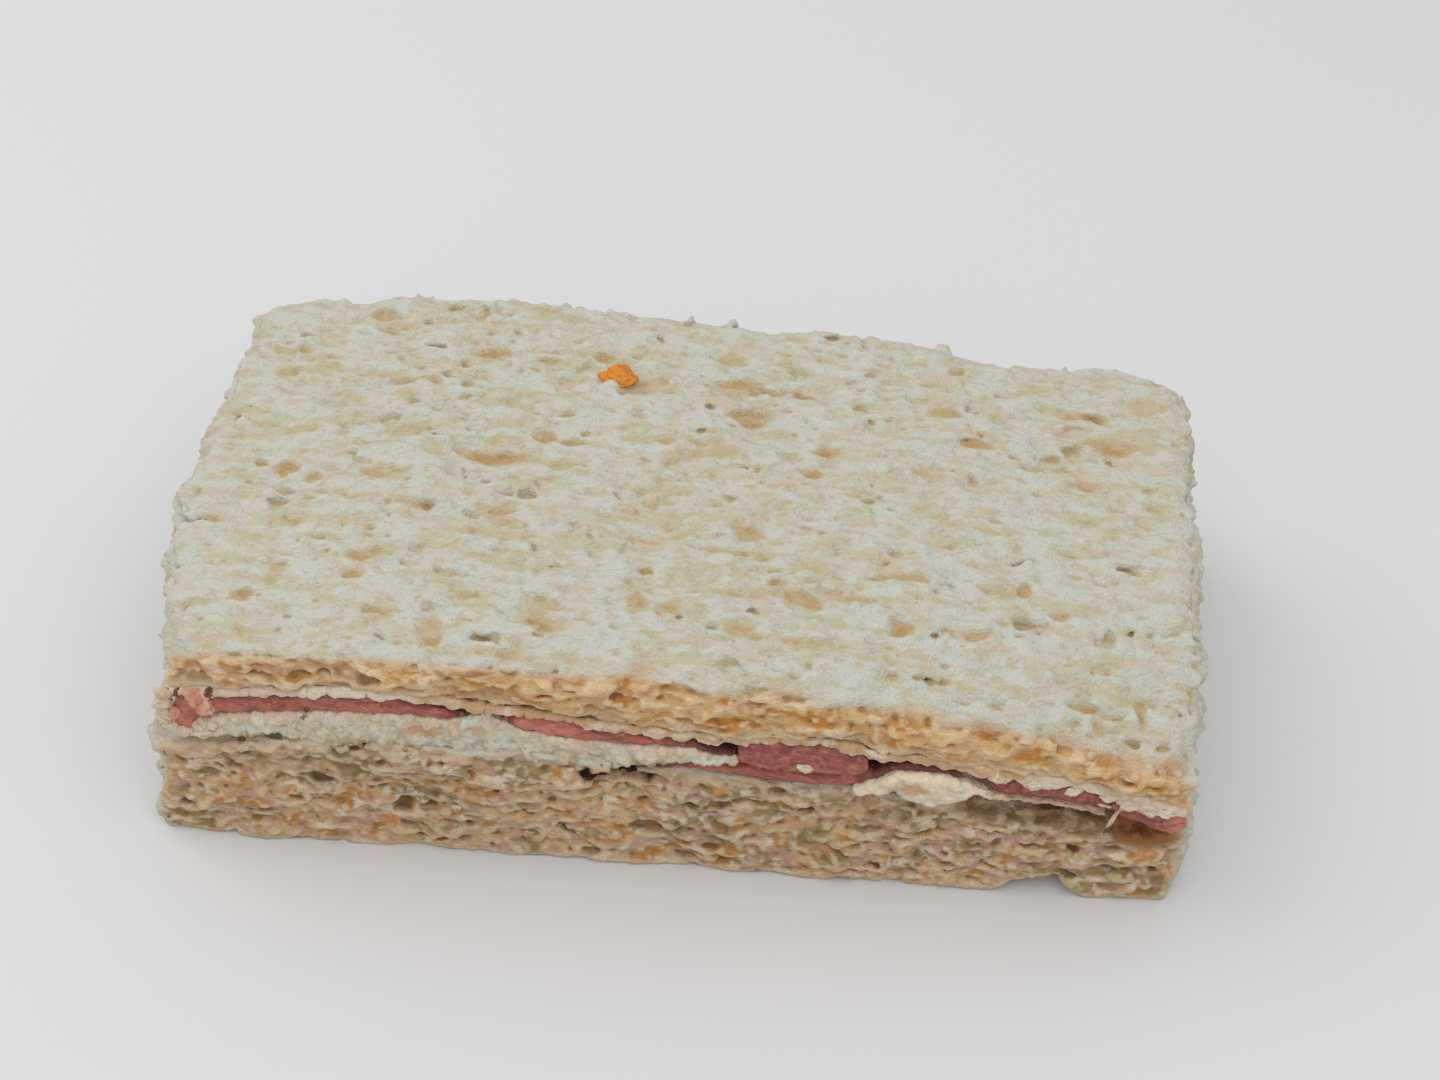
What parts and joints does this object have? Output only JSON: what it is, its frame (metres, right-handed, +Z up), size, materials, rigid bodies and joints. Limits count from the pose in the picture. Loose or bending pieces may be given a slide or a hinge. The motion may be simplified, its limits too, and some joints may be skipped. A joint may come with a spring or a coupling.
{
  "type": "crustless ham and blue cheese sandwich half",
  "caption": "Rectangular half of a crustless white bread sandwich, cut side showing layers of ham, blue cheese and a thin white spread; food to be held, served or eaten.",
  "frame": {"origin": "centre of the bounding box, on the surface that the bottom slice rests on", "axes": "+X along the cut to the right, +Y from the cut side to the trimmed back edge, +Z up"},
  "size_m": [0.1048, 0.0574, 0.0274],
  "materials": {
    "crumb": "dry open white bread crumb, creamy on top and ochre on the cut side, fully matt",
    "spread": "thin smeared white spread, soft and slightly moist",
    "blue_cheese": "soft crumbly cream cheese paste with green-black mould spots",
    "ham": "moist cooked pink ham, cut across its fibres, darker at its thin edges"
  },
  "bodies": {
    "root": {"bread_bottom": "crumb", "bread_top": "crumb", "spread": "spread", "blue_cheese_left": "blue_cheese", "blue_cheese_right": "blue_cheese", "ham_left": "ham", "ham_middle": "ham", "ham_lower": "ham", "ham_fold": "ham", "ham_right": "ham", "ham_corner": "ham"}
  },
  "joints": []
}
